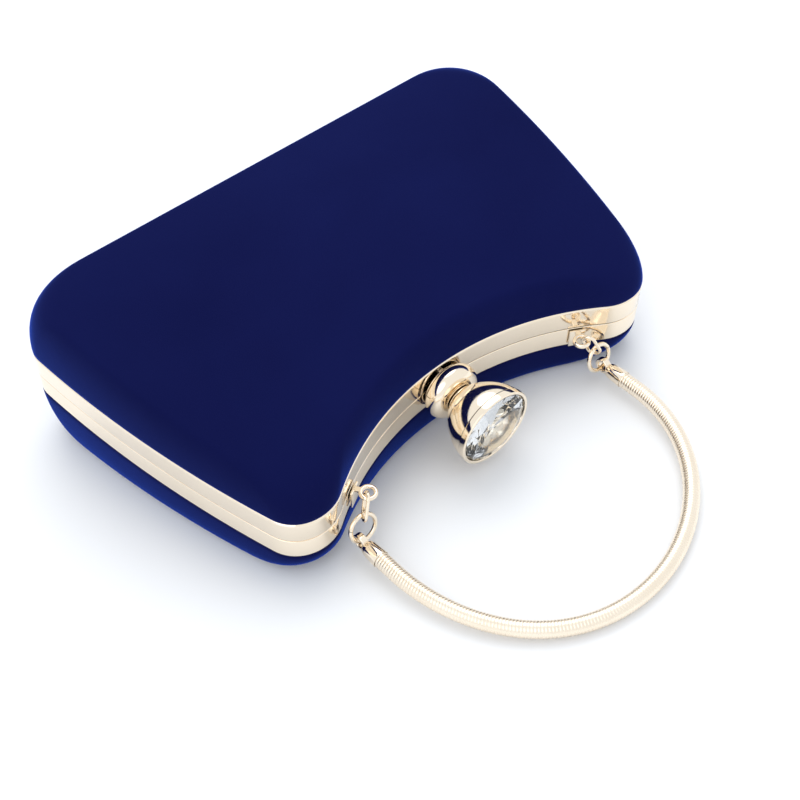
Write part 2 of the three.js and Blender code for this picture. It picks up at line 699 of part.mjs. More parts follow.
addPair('hinge_leaf_back', hingeLeaf(HINGE_X, BACK.side), gold);
addPair('hinge_leaf_front', hingeLeaf(HINGE_X, FRONT.side), gold);
addPair('hinge_pin', hingePin(HINGE_X), steel);

add('clasp_base', claspBase(), gold);
add('clasp_bead', claspBead(), gold);
add('clasp_neck', claspNeck(), gold);
add('clasp_bell', claspBell(), gold);
add('clasp_bezel', claspBezel(), gold);
add('clasp_crystal', claspCrystal(), crystal);
add('clasp_plunger', claspPlunger(), steel);
add('clasp_guide', claspGuide(), steel);
add('clasp_spring', claspSpring(), steel);
add('catch_keeper', catchKeeper(), steel);

addPair('lug', lug(), gold);
addPair('link', link(), gold);
addPair('ring', ring(), gold);
addPair('end_cap', endCap(), gold);
add('handle_tube', handleTube(), gold);
add('handle_core', handleCore(), steel);

// lay the bag on its flat back, centred over the origin
bag.rotation.x = WEDGE;
bag.position.z = Math.cos(WEDGE) * (FRAME_EDGE + BACK.depth);
bag.updateMatrixWorld(true);
const extent = new THREE.Box3().setFromObject(bag, true);
bag.position.y = -(extent.min.y + extent.max.y) / 2;

export default bag;
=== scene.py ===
"""Looks of the evening clutch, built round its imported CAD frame.

The case is drawn in the bag's own frame, in millimetres: the seam plane is z = 0, +X runs along the case,
-Y is the mouth and +Z the front.  bag_to_row() turns that into the row frame, in metres, using the CAD
joints.
"""
import json
import math

import bmesh
import bpy
import numpy as np
from mathutils import Matrix, Vector


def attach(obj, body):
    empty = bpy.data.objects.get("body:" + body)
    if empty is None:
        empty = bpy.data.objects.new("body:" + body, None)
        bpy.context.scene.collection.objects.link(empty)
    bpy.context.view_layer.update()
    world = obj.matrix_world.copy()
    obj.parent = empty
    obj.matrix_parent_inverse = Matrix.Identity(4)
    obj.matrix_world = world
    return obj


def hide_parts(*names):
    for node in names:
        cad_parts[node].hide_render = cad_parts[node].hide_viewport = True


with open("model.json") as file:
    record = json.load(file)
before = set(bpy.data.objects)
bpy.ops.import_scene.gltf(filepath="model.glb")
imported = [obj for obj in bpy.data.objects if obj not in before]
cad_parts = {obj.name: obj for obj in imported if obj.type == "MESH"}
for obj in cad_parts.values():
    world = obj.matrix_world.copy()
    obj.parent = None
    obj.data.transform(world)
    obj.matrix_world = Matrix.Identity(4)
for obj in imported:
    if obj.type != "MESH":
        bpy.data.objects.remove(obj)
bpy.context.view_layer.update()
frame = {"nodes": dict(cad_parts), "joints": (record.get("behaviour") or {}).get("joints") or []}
JOINTS = {joint["name"]: joint for joint in frame["joints"]}

# ---- dimensions, in millimetres ------------------------------------------------------------------------

BOTTOM_WIDTH = 200
MOUTH_WIDTH = 150
CASE_HEIGHT = 131
MOUTH_ARCH = 31.5
SIDE_BULGE = 5
BOTTOM_CUT = 12
MOUTH_CUT = 20.5
BOTTOM_Y = CASE_HEIGHT / 2
MOUTH_Y = -BOTTOM_Y
ARCH_TOP_Y = MOUTH_Y + MOUTH_ARCH
ARCH_RADIUS = (MOUTH_WIDTH ** 2 / 4 + MOUTH_ARCH ** 2) / (2 * MOUTH_ARCH)

FRONT = dict(side=1, depth=20.5, taper=13.5, crown=2.5, edge_round=5.5, corner_round=18)
BACK = dict(side=-1, depth=18, taper=12, crown=0, edge_round=4, corner_round=18)
FRAME_EDGE = 8.4
BAND = 1.2
FLANGE_REACH = 4.5
FLANGE = 1.2
SEAM = 0.15
GAP = 0.3
COVER = 1.2
SHELL = 1.5
LINING = 0.6
SHELL_RIM = SEAM + FLANGE + GAP

HINGE_STAND_OFF = 2.3
HINGE_Y = BOTTOM_Y + HINGE_STAND_OFF
HINGE_X = 55
HINGE_WIDTH = 24
KNUCKLE_RADIUS = 1.6
KNUCKLE_SPLIT = 4.2
PIN_RADIUS = 0.8

CLASP_Z = -1.7
CRYSTAL_RADIUS = 13.3
BEZEL_RADIUS = 14.5
BEAD_RADIUS = 10.4
BEAD_SKIRT = 0.5
BEAD_CUT = math.radians(55)
BELL_NECK_RADIUS = 7.2
STEM_Z = 3.6
STEM_RADIUS = 1.3
PRESS_TRAVEL = 1
TONGUE_Y = ARCH_TOP_Y + 5.9
TONGUE_THICKNESS = 1.4
GUIDE_Y = ARCH_TOP_Y + 12.5
SPRING_TURNS = 3.5
SPRING_RADIUS = 2.1
SPRING_WIRE = 0.25
BASE_Y = ARCH_TOP_Y - 0.9
BASE_THICKNESS = 0.8
SKIRT_Y = ARCH_TOP_Y - 1.85
BEAD_Y = BASE_Y - BASE_THICKNESS - PRESS_TRAVEL - GAP
NECK_Y = -43
BEZEL_Y = -57.2

EYE_REACH = 5.6
EYE_RADIUS = 2.4
EYE_WIRE = 0.75
EYE_Z = -1
LUG_X = 51
LINK_WIRE = 0.6
LINK_HALF_WIDTH = 2.1
RING_RADIUS = 4.9
RING_WIRE = 0.75
HANDLE_TIP = np.array([-5, -130.2, -11.4])
HANDLE_STRAIGHT = 15.5
TUBE_RADIUS = 2.8
COIL_PITCH = 1.05
COIL_GROOVE = 0.13
CORE_RADIUS = 1.1
CAP_RADIUS = 3
CAP_LENGTH = 12.5
CAP_END = CAP_LENGTH - CAP_RADIUS

MM = 0.001

# ---- bag frame and row frame ------------------------------------------------------------------------------

press = JOINTS["clasp_press"]["axis"]
WEDGE = math.atan2(press[2], press[1])
TILT = np.array(Matrix.Rotation(WEDGE, 3, "X"))
LIFT = np.array(JOINTS["lid_hinge"]["pos_m"]) - TILT @ np.array([0, HINGE_Y, 0]) * MM


def bag_to_row(points):
    return np.asarray(points, float).reshape(-1, 3) @ TILT.T * MM + LIFT


def row_to_bag(point):
    return (np.array(point) - LIFT) @ TILT / MM


def unit(vector):
    return np.asarray(vector, float) / np.linalg.norm(vector)


# ---- meshes -----------------------------------------------------------------------------------------------

def loft(rings, ends=None):
    """Points, faces and face corners' (round, along) shares of a surface through rings of equal length.

    ends are the two middle points that close it; without them the last ring joins the first."""
    rings = np.asarray(rings, float)
    count, size = rings.shape[:2]
    points = list(rings.reshape(-1, 3))
    faces, shares = [], []
    for k in range(count - 1 if ends is not None else count):
        after = (k + 1) % count
        for i in range(size):
            j = (i + 1) % size
            faces.append((k * size + i, k * size + j, after * size + j, after * size + i))
            low, high = i / size, (i + 1) / size
            near, far = k / count, (k + 1) / count
            shares.append(((low, near), (high, near), (high, far), (low, far)))
    if ends is not None:
        points.extend(ends)
        for middle, start, share in ((count * size, 0, 0), (count * size + 1, (count - 1) * size, 1)):
            for i in range(size):
                j = (i + 1) % size
                faces.append((middle, start + j, start + i))
                shares.append(((i / size, share), ((i + 1) / size, share), (i / size, share)))
    return points, faces, shares


def rounded(profile, radius, steps=4, closed=False):
    """A 2-D profile with its corners rounded by arcs, which take at most half of a side."""
    profile = [np.array(p, float) for p in profile]
    count = len(profile)
    result = []
    for i, corner in enumerate(profile):
        if not closed and i in (0, count - 1):
            result.append(corner)
            continue
        before = profile[i - 1] - corner
        after = profile[(i + 1) % count] - corner
        u, v = unit(before), unit(after)
        half = math.acos(max(-1, min(1, float(u @ v)))) / 2
        if half > math.radians(86):
            result.append(corner)
            continue
        reach = min(radius / math.tan(half), np.linalg.norm(before) * 0.49, np.linalg.norm(after) * 0.49)
        arc = reach * math.tan(half)
        middle = corner + unit(u + v) * arc / math.sin(half)
        start = corner + u * reach - middle
        end = corner + v * reach - middle
        turn = math.pi - 2 * half
        for k in range(steps + 1):
            angle = turn * k / steps
            share = math.sin(turn - angle) / math.sin(turn), math.sin(angle) / math.sin(turn)
            result.append(middle + start * share[0] + end * share[1])
    return result


def turned(profile, place, sides=96):
    """Body of revolution. profile holds (radius, height) pairs, and starts and ends on the axis or closes."""
    profile = [(float(r), float(h)) for r, h in profile]
    capped = profile[0][0] < 1e-6
    inner = profile[1:-1] if capped else profile
    angles = np.linspace(0, 2 * math.pi, sides, endpoint=False)
    circle = np.stack([np.cos(angles), np.sin(angles)], 1)
    rings = [place(np.column_stack([circle * r, np.full(sides, h)])) for r, h in inner]
    if not capped:
        return loft(rings)
    ends = [place(np.array([[0, 0, h]]))[0] for h in (profile[0][1], profile[-1][1])]
    return loft(rings, ends)


def placer(across, up, along, origin):
    """A function that puts points drawn on three unit vectors in their place."""
    basis = np.array([across, up, along], float)
    return lambda points: np.asarray(points, float) @ basis + np.asarray(origin, float)


on_clasp_axis = placer([1, 0, 0], [0, 0, 1], [0, 1, 0], [0, 0, CLASP_Z])
on_stem_axis = placer([1, 0, 0], [0, 0, 1], [0, 1, 0], [0, 0, STEM_Z])


def along_x(y, z):
    return placer([0, 1, 0], [0, 0, 1], [1, 0, 0], [0, y, z])


def swept(path, normals, binormals, radius, sides, cap=True):
    """Tube of a round section along a path; radius may be a function of (step, angles)."""
    angles = np.linspace(0, 2 * math.pi, sides, endpoint=False)
    rings = []
    for k, point in enumerate(path):
        reach = radius(k, angles) if callable(radius) else np.full(sides, radius)
        ring = np.outer(reach * np.cos(angles), normals[k]) + np.outer(reach * np.sin(angles), binormals[k])
        rings.append(point + ring)
    return loft(rings, [path[0], path[-1]] if cap else None)


def mesh_of(name, shape, sharp=35):
    """Blender mesh, in the row frame, of a shape drawn in the bag frame."""
    points, faces = shape[:2]
    mesh = bpy.data.meshes.new(name)
    mesh.from_pydata([tuple(p) for p in bag_to_row(points)], [], faces)
    if len(shape) > 2:
        layer = mesh.uv_layers.new(name="round_along")
        flat = np.array([share for face in shape[2] for share in face], np.float32)
        layer.data.foreach_set("uv", flat.ravel())
    made = bmesh.new()
    made.from_mesh(mesh)
    bmesh.ops.recalc_face_normals(made, faces=made.faces)
    made.to_mesh(mesh)
    made.free()
    smooth(mesh, sharp)
    return mesh


def smooth(mesh, sharp):
    mesh.polygons.foreach_set("use_smooth", [True] * len(mesh.polygons))
    mesh.set_sharp_from_angle(angle=math.radians(sharp))
    mesh.update()


def object_of(name, mesh):
    made = bpy.data.objects.new(name, mesh)
    bpy.context.scene.collection.objects.link(made)
    return made


def combined(name, shapes, cuts=(), sharp=35):
    """One mesh from shapes that overlap, with others cut away."""
    base = object_of(name, mesh_of(name, shapes[0], sharp))
    tools = []
    for operation, group in (("UNION", shapes[1:]), ("DIFFERENCE", cuts)):
        for shape in group:
            tool = object_of(name + "_tool", mesh_of(name + "_tool", shape, sharp))
            modifier = base.modifiers.new("join", "BOOLEAN")
            modifier.operation = operation
            modifier.solver = "EXACT"
            modifier.object = tool
            tools.append(tool)
    bpy.context.view_layer.update()
    mesh = bpy.data.meshes.new_from_object(base.evaluated_get(bpy.context.evaluated_depsgraph_get()))
    for tool in (base, *tools):
        bpy.data.objects.remove(tool)
    smooth(mesh, sharp)
    return mesh


def mirrored(mesh, name):
    """Copy of a +X piece on the other side of the case."""
    copy = mesh.copy()
    copy.name = name
    copy.transform(Matrix.Scale(-1, 4, (1, 0, 0)))
    copy.flip_normals()
    return copy


def block(low, high, fillet=0.25, steps=3):
    """Box between two corners with rounded edges, as points and faces."""
    low, high = np.array(low, float), np.array(high, float)
    made = bmesh.new()
    bmesh.ops.create_cube(made, size=1)
    for vertex in made.verts:
        vertex.co = Vector((low + high) / 2 + np.array(vertex.co) * (high - low))
    if fillet > 0:
        bmesh.ops.bevel(made, geom=made.edges[:], offset=fillet, segments=steps, profile=0.5, affect="EDGES")
    made.verts.index_update()
    points = [np.array(v.co) for v in made.verts]
    faces = [tuple(v.index for v in face.verts) for face in made.faces]
    made.free()
    return points, faces


def moved(shape, place):
    return (list(place(np.array(shape[0]))), *shape[1:])


# ---- materials --------------------------------------------------------------------------------------------

class Finish:
    """A Principled material and the few nodes that vary it."""

    def __init__(self, name, **sockets):
        self.material = bpy.data.materials.new(name)
        self.material.use_nodes = True
        self.tree = self.material.node_tree
        self.shader = self.tree.nodes["Principled BSDF"]
        for socket, value in sockets.items():
            self.shader.inputs[socket.replace("_", " ")].default_value = value
        self.place = self.tree.nodes.new("ShaderNodeTexCoord")

    def node(self, kind, **settings):
        made = self.tree.nodes.new(kind)
        for key, value in settings.items():
            setattr(made, key, value)
        return made

    def link(self, output, target):
        self.tree.links.new(output, target)

    def noise(self, scale, detail=3, stretch=(1, 1, 1), source="Object", distortion=0.0):
        mapping = self.node("ShaderNodeMapping")
        mapping.inputs["Scale"].default_value = stretch
        self.link(self.place.outputs[source], mapping.inputs["Vector"])
        made = self.node("ShaderNodeTexNoise")
        made.inputs["Scale"].default_value = scale
        made.inputs["Detail"].default_value = detail
        made.inputs["Distortion"].default_value = distortion
        self.link(mapping.outputs["Vector"], made.inputs["Vector"])
        return made.outputs["Fac"]

    def span(self, value, low, high, source=(0.35, 0.65)):
        """value, taken from source's range to low..high."""
        made = self.node("ShaderNodeMapRange")
        made.inputs["From Min"].default_value = source[0]
        made.inputs["From Max"].default_value = source[1]
        made.inputs["To Min"].default_value = low
        made.inputs["To Max"].default_value = high
        self.link(value, made.inputs["Value"])
        return made.outputs["Result"]

    def colours(self, value, *stops):
        made = self.node("ShaderNodeValToRGB")
        ramp = made.color_ramp
        while len(ramp.elements) < len(stops):
            ramp.elements.new(0.5)
        for element, (position, colour) in zip(ramp.elements, stops):
            element.position = position
            element.color = (*colour, 1)
        self.link(value, made.inputs["Fac"])
        self.link(made.outputs["Color"], self.shader.inputs["Base Color"])

    def bump(self, height, strength, distance, before=None):
        made = self.node("ShaderNodeBump")
        made.inputs["Strength"].default_value = strength
        made.inputs["Distance"].default_value = distance
        self.link(height, made.inputs["Height"])
        if before is not None:
            self.link(before, made.inputs["Normal"])
        self.link(made.outputs["Normal"], self.shader.inputs["Normal"])
        return made.outputs["Normal"]


def velvet_finish():
    """Short royal blue pile: dark where seen straight on, brighter where the surface turns away."""
    made = Finish("velvet", Roughness=0.9, Specular_IOR_Level=0.04, Sheen_Weight=1.0,
                  Sheen_Roughness=0.3, Sheen_Tint=(0.035, 0.12, 0.80, 1))
    brushed = made.noise(14, detail=4, distortion=0.3)
    made.colours(brushed, (0.3, (0.0036, 0.0054, 0.050)), (0.7, (0.0048, 0.0074, 0.062)))
    pile = made.bump(made.noise(2600, detail=2), 0.35, 0.00018)
    made.bump(made.noise(90, detail=3), 0.12, 0.0006, before=pile)
    return made.material


def gilt_finish():
    """Pale gold plate, polished, with faint drawn lines along the band and fine handling marks."""
    made = Finish("gilt", Metallic=1.0)
    tone = made.noise(35, detail=3)
    made.colours(tone, (0.3, (0.94, 0.82, 0.65)), (0.7, (0.97, 0.85, 0.69)))
    marks = made.noise(900, detail=4, stretch=(1, 0.12, 0.6))
    made.link(made.span(marks, 0.05, 0.13), made.shader.inputs["Roughness"])
    ripple = made.bump(made.noise(120, detail=2), 0.06, 0.0003)
    made.bump(made.noise(1, detail=2, stretch=(9, 420, 1), source="UV"), 0.05, 0.00008, before=ripple)
    return made.material


def coil_finish():
    """The handle's wound strip: the same plate, a little duller all over."""
    made = Finish("gilt_coil", Metallic=1.0)
    made.colours(made.noise(60, detail=3), (0.3, (0.93, 0.81, 0.65)), (0.7, (0.97, 0.86, 0.71)))
    made.link(made.span(made.noise(1500, detail=3), 0.2, 0.32), made.shader.inputs["Roughness"])
    made.bump(made.noise(2200, detail=2), 0.12, 0.00006)
    return made.material


def steel_finish():
    made = Finish("steel", Metallic=1.0)
    made.colours(made.noise(80, detail=3), (0.3, (0.52, 0.53, 0.55)), (0.7, (0.66, 0.67, 0.69)))
    made.link(made.span(made.noise(600, detail=4, stretch=(1, 12, 1)), 0.22, 0.4),
              made.shader.inputs["Roughness"])
    made.bump(made.noise(1400, detail=3, stretch=(1, 14, 1)), 0.2, 0.00005)
    return made.material


def board_finish():
    """Moulded shell: matt, faintly pebbled."""
    made = Finish("board", Specular_IOR_Level=0.3)
    made.colours(made.noise(50, detail=5), (0.3, (0.30, 0.26, 0.21)), (0.7, (0.42, 0.37, 0.31)))
    made.link(made.span(made.noise(400), 0.7, 0.9), made.shader.inputs["Roughness"])
    made.bump(made.noise(1200, detail=4), 0.4, 0.0001)
    return made.material


def satin_finish():
    """Woven satin lining, navy: two crossed sets of fine threads and a soft sheen."""
    made = Finish("satin", Specular_IOR_Level=0.45, Sheen_Weight=0.35, Sheen_Roughness=0.4,
                  Sheen_Tint=(0.35, 0.4, 0.7, 1))
    made.colours(made.noise(18, detail=4), (0.3, (0.010, 0.012, 0.035)), (0.7, (0.020, 0.024, 0.060)))
    made.link(made.span(made.noise(140, detail=4), 0.34, 0.5), made.shader.inputs["Roughness"])
    threads = made.bump(made.noise(900, detail=2, stretch=(1, 9, 9)), 0.25, 0.0001)
    made.bump(made.noise(900, detail=2, stretch=(9, 1, 1)), 0.2, 0.00008, before=threads)
    return made.material


def stone_finish():
    """Clear cut stone."""
    made = Finish("stone", Roughness=0.0, IOR=1.56, Transmission_Weight=1.0)
    made.colours(made.noise(40, detail=1), (0.3, (0.93, 0.97, 0.99)), (0.7, (0.98, 0.99, 1.0)))
    return made.material


def floor_finish():
    made = Finish("table", Specular_IOR_Level=0.25)
    made.colours(made.noise(3, detail=2), (0.3, (0.90, 0.915, 0.935)), (0.7, (0.92, 0.93, 0.945)))
    made.link(made.span(made.noise(6), 0.5, 0.6), made.shader.inputs["Roughness"])
    return made.material


VELVET = velvet_finish()
GILT = gilt_finish()
COIL = coil_finish()
STEEL = steel_finish()
BOARD = board_finish()
SATIN = satin_finish()
STONE = stone_finish()


def piece(name, mesh, body, slot, finish, *nodes):
    """A finished piece: it rides on a body and stands for its CAD nodes."""
    mesh.materials.clear()
    mesh.materials.append(finish)
    made = object_of(name, mesh)
    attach(made, body)
    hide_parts(*nodes)
    return made


def pair(name, mesh, bodies, slot, finish, node):
    """The +X piece on bodies[0] and its mirror image on bodies[1]."""
    piece(f"{name}_right", mesh, bodies[0], slot, finish, f"{node}_right")
    piece(f"{name}_left", mirrored(mesh, f"{name}_left"), bodies[1], slot, finish, f"{node}_left")


# ---- case outline -----------------------------------------------------------------------------------------

MOUTH_STEPS = 72
SIDE_STEPS = 34
BOTTOM_STEPS = 30
CORNER_STEPS = 18

SIDE_SPAN = math.hypot((BOTTOM_WIDTH - MOUTH_WIDTH) / 2, CASE_HEIGHT)
SIDE_RADIUS = (SIDE_SPAN ** 2 / 4 + SIDE_BULGE ** 2) / (2 * SIDE_BULGE)
SIDE_HALF_TURN = math.asin(SIDE_SPAN / 2 / SIDE_RADIUS)
SIDE_LEAN = math.atan2(CASE_HEIGHT, (BOTTOM_WIDTH - MOUTH_WIDTH) / 2)


class ArcEdge:
    """Arc between two points, bulging to the left of its direction for a positive sagitta."""

    def __init__(self, start, end, sagitta):
        chord = end - start
        self.start, self.span = start, np.linalg.norm(chord)
        self.ahead = chord / self.span
        self.left = np.array([-self.ahead[1], self.ahead[0]]) * np.sign(sagitta)
        self.rise = abs(sagitta)
        self.length = self.span
        if self.rise:
            self.radius = (self.span ** 2 / 4 + self.rise ** 2) / (2 * self.rise)
            self.half = math.asin(self.span / 2 / self.radius)
            self.length = 2 * self.half * self.radius
            self.middle = (start + end) / 2

    def at(self, t):
        if not self.rise:
            return self.start + self.ahead * self.span * t
        turn = (2 * t - 1) * self.half
        side = self.radius * math.cos(turn) - self.radius + self.rise
        return self.middle + self.ahead * self.radius * math.sin(turn) + self.left * side

    def heading(self, t):
        if not self.rise:
            return self.ahead
        turn = (2 * t - 1) * self.half
        return self.ahead * math.cos(turn) - self.left * math.sin(turn)


def round_corner(edge, end, after, start):
    """Points of a conic corner between the end of one edge and the start of the next."""
    a, b = edge.at(end), after.at(start)
    u, v = edge.heading(end), after.heading(start)
    reach = np.cross(b - a, v) / np.cross(u, v)
    corner = a + u * reach
    weight = math.cos(math.acos(float(u @ v)) / 2)
    points = []
    for t in np.arange(1, CORNER_STEPS) / CORNER_STEPS:
        parts = (1 - t) ** 2, 2 * weight * t * (1 - t), t ** 2
        points.append((a * parts[0] + corner * parts[1] + b * parts[2]) / sum(parts))
    return points


def corner_at(x, y, first_edge, second_edge, inset):
    """A corner of the outline moved inwards along its bisector."""
    middle = (first_edge + second_edge) / 2
    reach = inset / math.sin((second_edge - first_edge) / 2)
    return np.array([x + reach * math.cos(middle), y + reach * math.sin(middle)])


def sagitta_of(span, radius):
    return radius - math.sqrt(radius ** 2 - span ** 2 / 4)


def case_outline(inset, extra=0.0):
    """Outline of the case shrunk by inset, its corners rounded by extra; points run anticlockwise."""
    arch_lean = math.pi - math.asin(MOUTH_WIDTH / 2 / ARCH_RADIUS)
    mouth = corner_at(MOUTH_WIDTH / 2, MOUTH_Y, SIDE_LEAN - SIDE_HALF_TURN, arch_lean, inset)
    bottom = corner_at(BOTTOM_WIDTH / 2, BOTTOM_Y, math.pi, math.pi + SIDE_LEAN + SIDE_HALF_TURN, inset)
    flip = np.array([-1, 1])
    side = sagitta_of(np.linalg.norm(mouth - bottom), SIDE_RADIUS - inset)
    edges = [
        (ArcEdge(mouth * flip, mouth, sagitta_of(2 * mouth[0], ARCH_RADIUS + inset)), MOUTH_STEPS),
        (ArcEdge(mouth, bottom, -side), SIDE_STEPS),
        (ArcEdge(bottom, bottom * flip, 0), BOTTOM_STEPS),
        (ArcEdge(bottom * flip, mouth * flip, -side), SIDE_STEPS),
    ]
    mouth_cut, bottom_cut = MOUTH_CUT + extra, BOTTOM_CUT + extra
    cuts = [
        (mouth_cut, mouth_cut),
        (mouth_cut, bottom_cut),
        (bottom_cut, bottom_cut),
        (bottom_cut, mouth_cut),
    ]
    points = []
    for k, (edge, steps) in enumerate(edges):
        after = edges[(k + 1) % 4][0]
        start, end = cuts[k][0] / edge.length, 1 - cuts[k][1] / edge.length
        points.extend(edge.at(start + (end - start) * i / steps) for i in range(steps + 1))
        points.extend(round_corner(edge, end, after, cuts[k][1] / after.length))
    return np.array(points)


def raised(outline, height):
    return np.column_stack([outline, np.broadcast_to(height, len(outline))])


# ---- trays ------------------------------------------------------------------------------------------------

def tray_rings(tray, offset, rim, tuck=0.0):
    """Rings of a tray's surface from its rim to its middle, and the middle point.

    tuck turns the rim in by that much, as fabric does where it goes under the frame's edge."""
    side = tray["side"]
    height = lambda y: tray["depth"] + tray["taper"] * y / CASE_HEIGHT - tray["crown"] - offset
    rings = []
    for share in np.linspace(0, 1, 5)[:4 if tuck else 1]:
        turn = share * math.pi / 2
        rings.append(raised(case_outline(offset + tuck * (1 - math.sin(turn))),
                            side * (rim + 1.6 * tuck * (1 - math.cos(turn)))))
    first = 6 if tuck else 4
    for degrees in (*range(first, 60, 6), *range(60, 87, 3), 87):
        angle = math.radians(degrees)
        inwards = 1 - math.cos(angle) ** 0.75
        outline = case_outline(offset + tray["edge_round"] * inwards, tray["corner_round"] * inwards)
        rings.append(raised(outline, side * (FRAME_EDGE + height(outline[:, 1]) * math.sin(angle))))
    edge = rings[-1]
    middle = np.array([0, CASE_HEIGHT * 0.19])

    def dome(points, share):
        flat = points[:, :2] * (1 - share) + middle * share
        rise = height(flat[:, 1]) + tray["crown"] * (1 - (1 - share) ** 2)
        return raised(flat, side * (FRAME_EDGE + rise))

    rings += [dome(edge, share) for share in (0.04, 0.1, 0.18, 0.28, 0.4, 0.55, 0.7, 0.84, 0.94)]
    return rings, dome(edge[:1], 1.0)[0]


def tray_layer(tray, offset, thickness, rim, tuck=0.0):
    outside, outer_middle = tray_rings(tray, offset, rim, tuck)
    inside, inner_middle = tray_rings(tray, offset + thickness, rim + (0.3 if tuck else 0))
    return loft([*outside[::-1], *inside], [outer_middle, inner_middle])


def build_trays():
    for name, body, tray in (("front", "lid", FRONT), ("back", "back", BACK)):
        cover = mesh_of(f"{name}_velvet", tray_layer(tray, 0, COVER, FRAME_EDGE + 0.1, tuck=0.55), 60)
        piece(f"{name}_velvet", cover, body, "velvet", VELVET, f"{name}_cover")
        shell = mesh_of(f"{name}_board", tray_layer(tray, COVER + GAP, SHELL, SHELL_RIM), 60)
        piece(f"{name}_board", shell, body, "board", BOARD, f"{name}_shell")
        lining = mesh_of(f"{name}_satin", tray_layer(tray, COVER + SHELL + 2 * GAP, LINING, SHELL_RIM), 60)
        piece(f"{name}_satin", lining, body, "satin", SATIN, f"{name}_lining")


# ---- frame ------------------------------------------------------------------------------------------------

def frame_half(side):
    """Band with a rolled top edge and a lip at the seam, and the flange that the shell stands on."""
    lip = 0.16
    section = [
        (lip, SEAM), (0, SEAM + lip), (0.06, FRAME_EDGE - 1.5), (0, FRAME_EDGE - 0.5), (0.35, FRAME_EDGE),
        (BAND, FRAME_EDGE), (BAND, SEAM + FLANGE), (FLANGE_REACH, SEAM + FLANGE), (FLANGE_REACH, SEAM),
    ]
    smooth_section = rounded(section, 0.3, steps=3, closed=True)
    return loft([raised(case_outline(inset), side * height) for inset, height in smooth_section])


def stem_hole(radius):
    return turned([(0, ARCH_TOP_Y - 3), (radius, ARCH_TOP_Y - 3), (radius, ARCH_TOP_Y + 6),
                   (0, ARCH_TOP_Y + 6)], on_stem_axis, 32)


def build_frame():
    back = mesh_of("back_band", frame_half(-1), 30)
    piece("back_band", back, "back", "gilt", GILT, "back_frame")
    front = combined("front_band", [frame_half(1)], [stem_hole(STEM_RADIUS + 0.4)], 30)
    piece("front_band", front, "lid", "gilt", GILT, "front_frame")


# ---- hinges -----------------------------------------------------------------------------------------------

def rod_x(radius, start, end, fillet, bore=0.0, sides=48):
    if bore:
        profile = rounded([(bore, start), (radius, start), (radius, end), (bore, end)], fillet, closed=True)
    else:
        profile = rounded([(0, start), (radius, start), (radius, end), (0, end)], fillet)
    return turned(profile, along_x(HINGE_Y, 0), sides)


def hinge_leaf(side):
    half = HINGE_WIDTH / 2
    near, far = BOTTOM_Y + GAP, BOTTOM_Y + GAP + 0.8
    clear = KNUCKLE_RADIUS + 0.7
    spans = [(-KNUCKLE_SPLIT, KNUCKLE_SPLIT)] if side > 0 else \
        [(-half, -KNUCKLE_SPLIT - GAP), (KNUCKLE_SPLIT + GAP, half)]
    low, high = sorted((side * clear, side * 7))
    parts = [block((HINGE_X - half, near, low), (HINGE_X + half, far, high))]
    for start, end in spans:
        bottom, top = sorted((0, side * (clear + 0.5)))
        parts.append(block((HINGE_X + start, near + 0.01, bottom), (HINGE_X + end, far - 0.01, top), 0))
        parts.append(rod_x(KNUCKLE_RADIUS, HINGE_X + start, HINGE_X + end, 0.25))
    bore = rod_x(PIN_RADIUS + 0.1, HINGE_X - half - 1, HINGE_X + half + 1, 0)
    return combined(f"hinge_leaf_{side}", parts, [bore], 30)


def hinge_pin():
    end = HINGE_WIDTH / 2 + GAP
    head = KNUCKLE_RADIUS * 0.8
    profile = [(0, -end - 0.8), (head, -end - 0.8), (head, -end), (PIN_RADIUS, -end),
               (PIN_RADIUS, end), (head, end), (head, end + 0.8), (0, end + 0.8)]
    profile = [(r, h + HINGE_X) for r, h in rounded(profile, 0.35)]
    return mesh_of("hinge_pin", turned(profile, along_x(HINGE_Y, 0), 40), 30)


def build_hinges():
    pair("hinge_back", hinge_leaf(-1), ("back", "back"), "gilt", GILT, "hinge_leaf_back")
    pair("hinge_front", hinge_leaf(1), ("lid", "lid"), "gilt", GILT, "hinge_leaf_front")
    pair("hinge_rod", hinge_pin(), ("back", "back"), "steel", STEEL, "hinge_pin")


# ---- clasp ------------------------------------------------------------------------------------------------

BEAD_HALF = (SKIRT_Y - NECK_Y) / (1 + math.cos(BEAD_CUT))
HOLLOW_RADIUS = BEAD_RADIUS * math.sin(BEAD_CUT) ** 0.5 - BEAD_SKIRT


def clasp_base():
    radius = HOLLOW_RADIUS - GAP
    front = BASE_Y - BASE_THICKNESS
    outline = rounded([(0, BASE_Y), (radius, BASE_Y), (radius, front), (0, front)], 0.3, 5)
    return combined("base_plate", [turned(outline, on_clasp_axis)], [stem_hole(STEM_RADIUS + 0.4)], 30)


def clasp_bead():
    """Barrel bead: widest near its back rim, round towards the neck, and hollow behind for the base plate."""
    rim = HOLLOW_RADIUS + BEAD_SKIRT
    profile = rounded([(0, BEAD_Y), (HOLLOW_RADIUS, BEAD_Y), (HOLLOW_RADIUS, SKIRT_Y), (rim, SKIRT_Y)], 0.15)
    for angle in np.linspace(BEAD_CUT, math.pi, 44)[:-1]:
        profile.append((BEAD_RADIUS * math.sin(angle) ** 0.5, NECK_Y + BEAD_HALF * (1 + math.cos(angle))))
    profile.append((0, NECK_Y))
    return turned(profile, on_clasp_axis, 128)


def clasp_neck():
    inner, outer = NECK_Y - 0.2, NECK_Y - 1.2
    return turned(rounded([(0, inner), (5.8, inner), (5.8, outer), (0, outer)], 0.3), on_clasp_axis)


